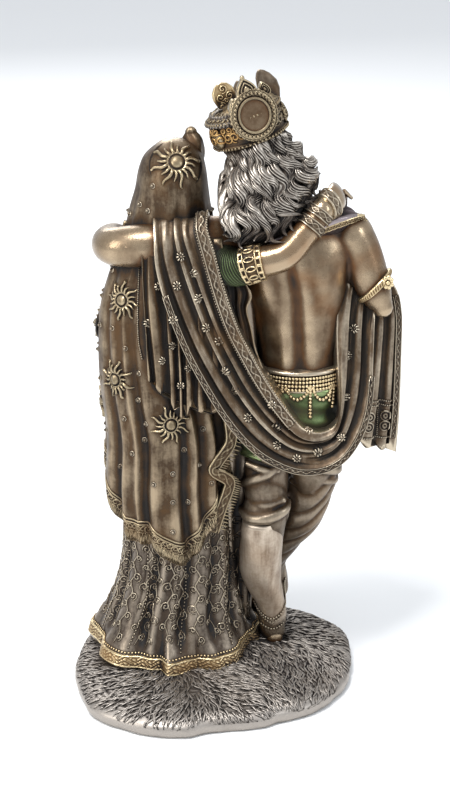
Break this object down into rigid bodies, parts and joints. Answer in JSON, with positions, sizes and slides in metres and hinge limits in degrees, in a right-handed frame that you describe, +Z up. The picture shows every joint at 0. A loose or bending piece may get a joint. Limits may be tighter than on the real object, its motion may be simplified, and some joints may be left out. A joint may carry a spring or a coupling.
{
  "type": "radha krishna statue",
  "caption": "Cast bronze-finish figure group of Krishna and Radha standing side by side with arms round each other on a grassy mound base.",
  "frame": {"origin": "centre of the mound's flat underside", "axes": "+Z up, the figures face -Y, Radha stands on the +X side"},
  "size_m": [0.1315, 0.1037, 0.25],
  "materials": {
    "bronze": "brown antique bronze wash with rubbed highlights and near-black recesses",
    "skin": "burnished pale bronze with amber brown shading",
    "cloth": "satin brown bronze, rubbed pale along the folds",
    "hair": "silvery grey-brown bronze with black recesses",
    "gold": "antique gold paint with dark lines",
    "green": "green metallic wash over bronze",
    "mantle": "purplish grey metallic wash",
    "grass": "grey-brown bronze, satin, dark between the blades"
  },
  "bodies": {
    "root": {"statue": "bronze"}
  },
  "joints": []
}
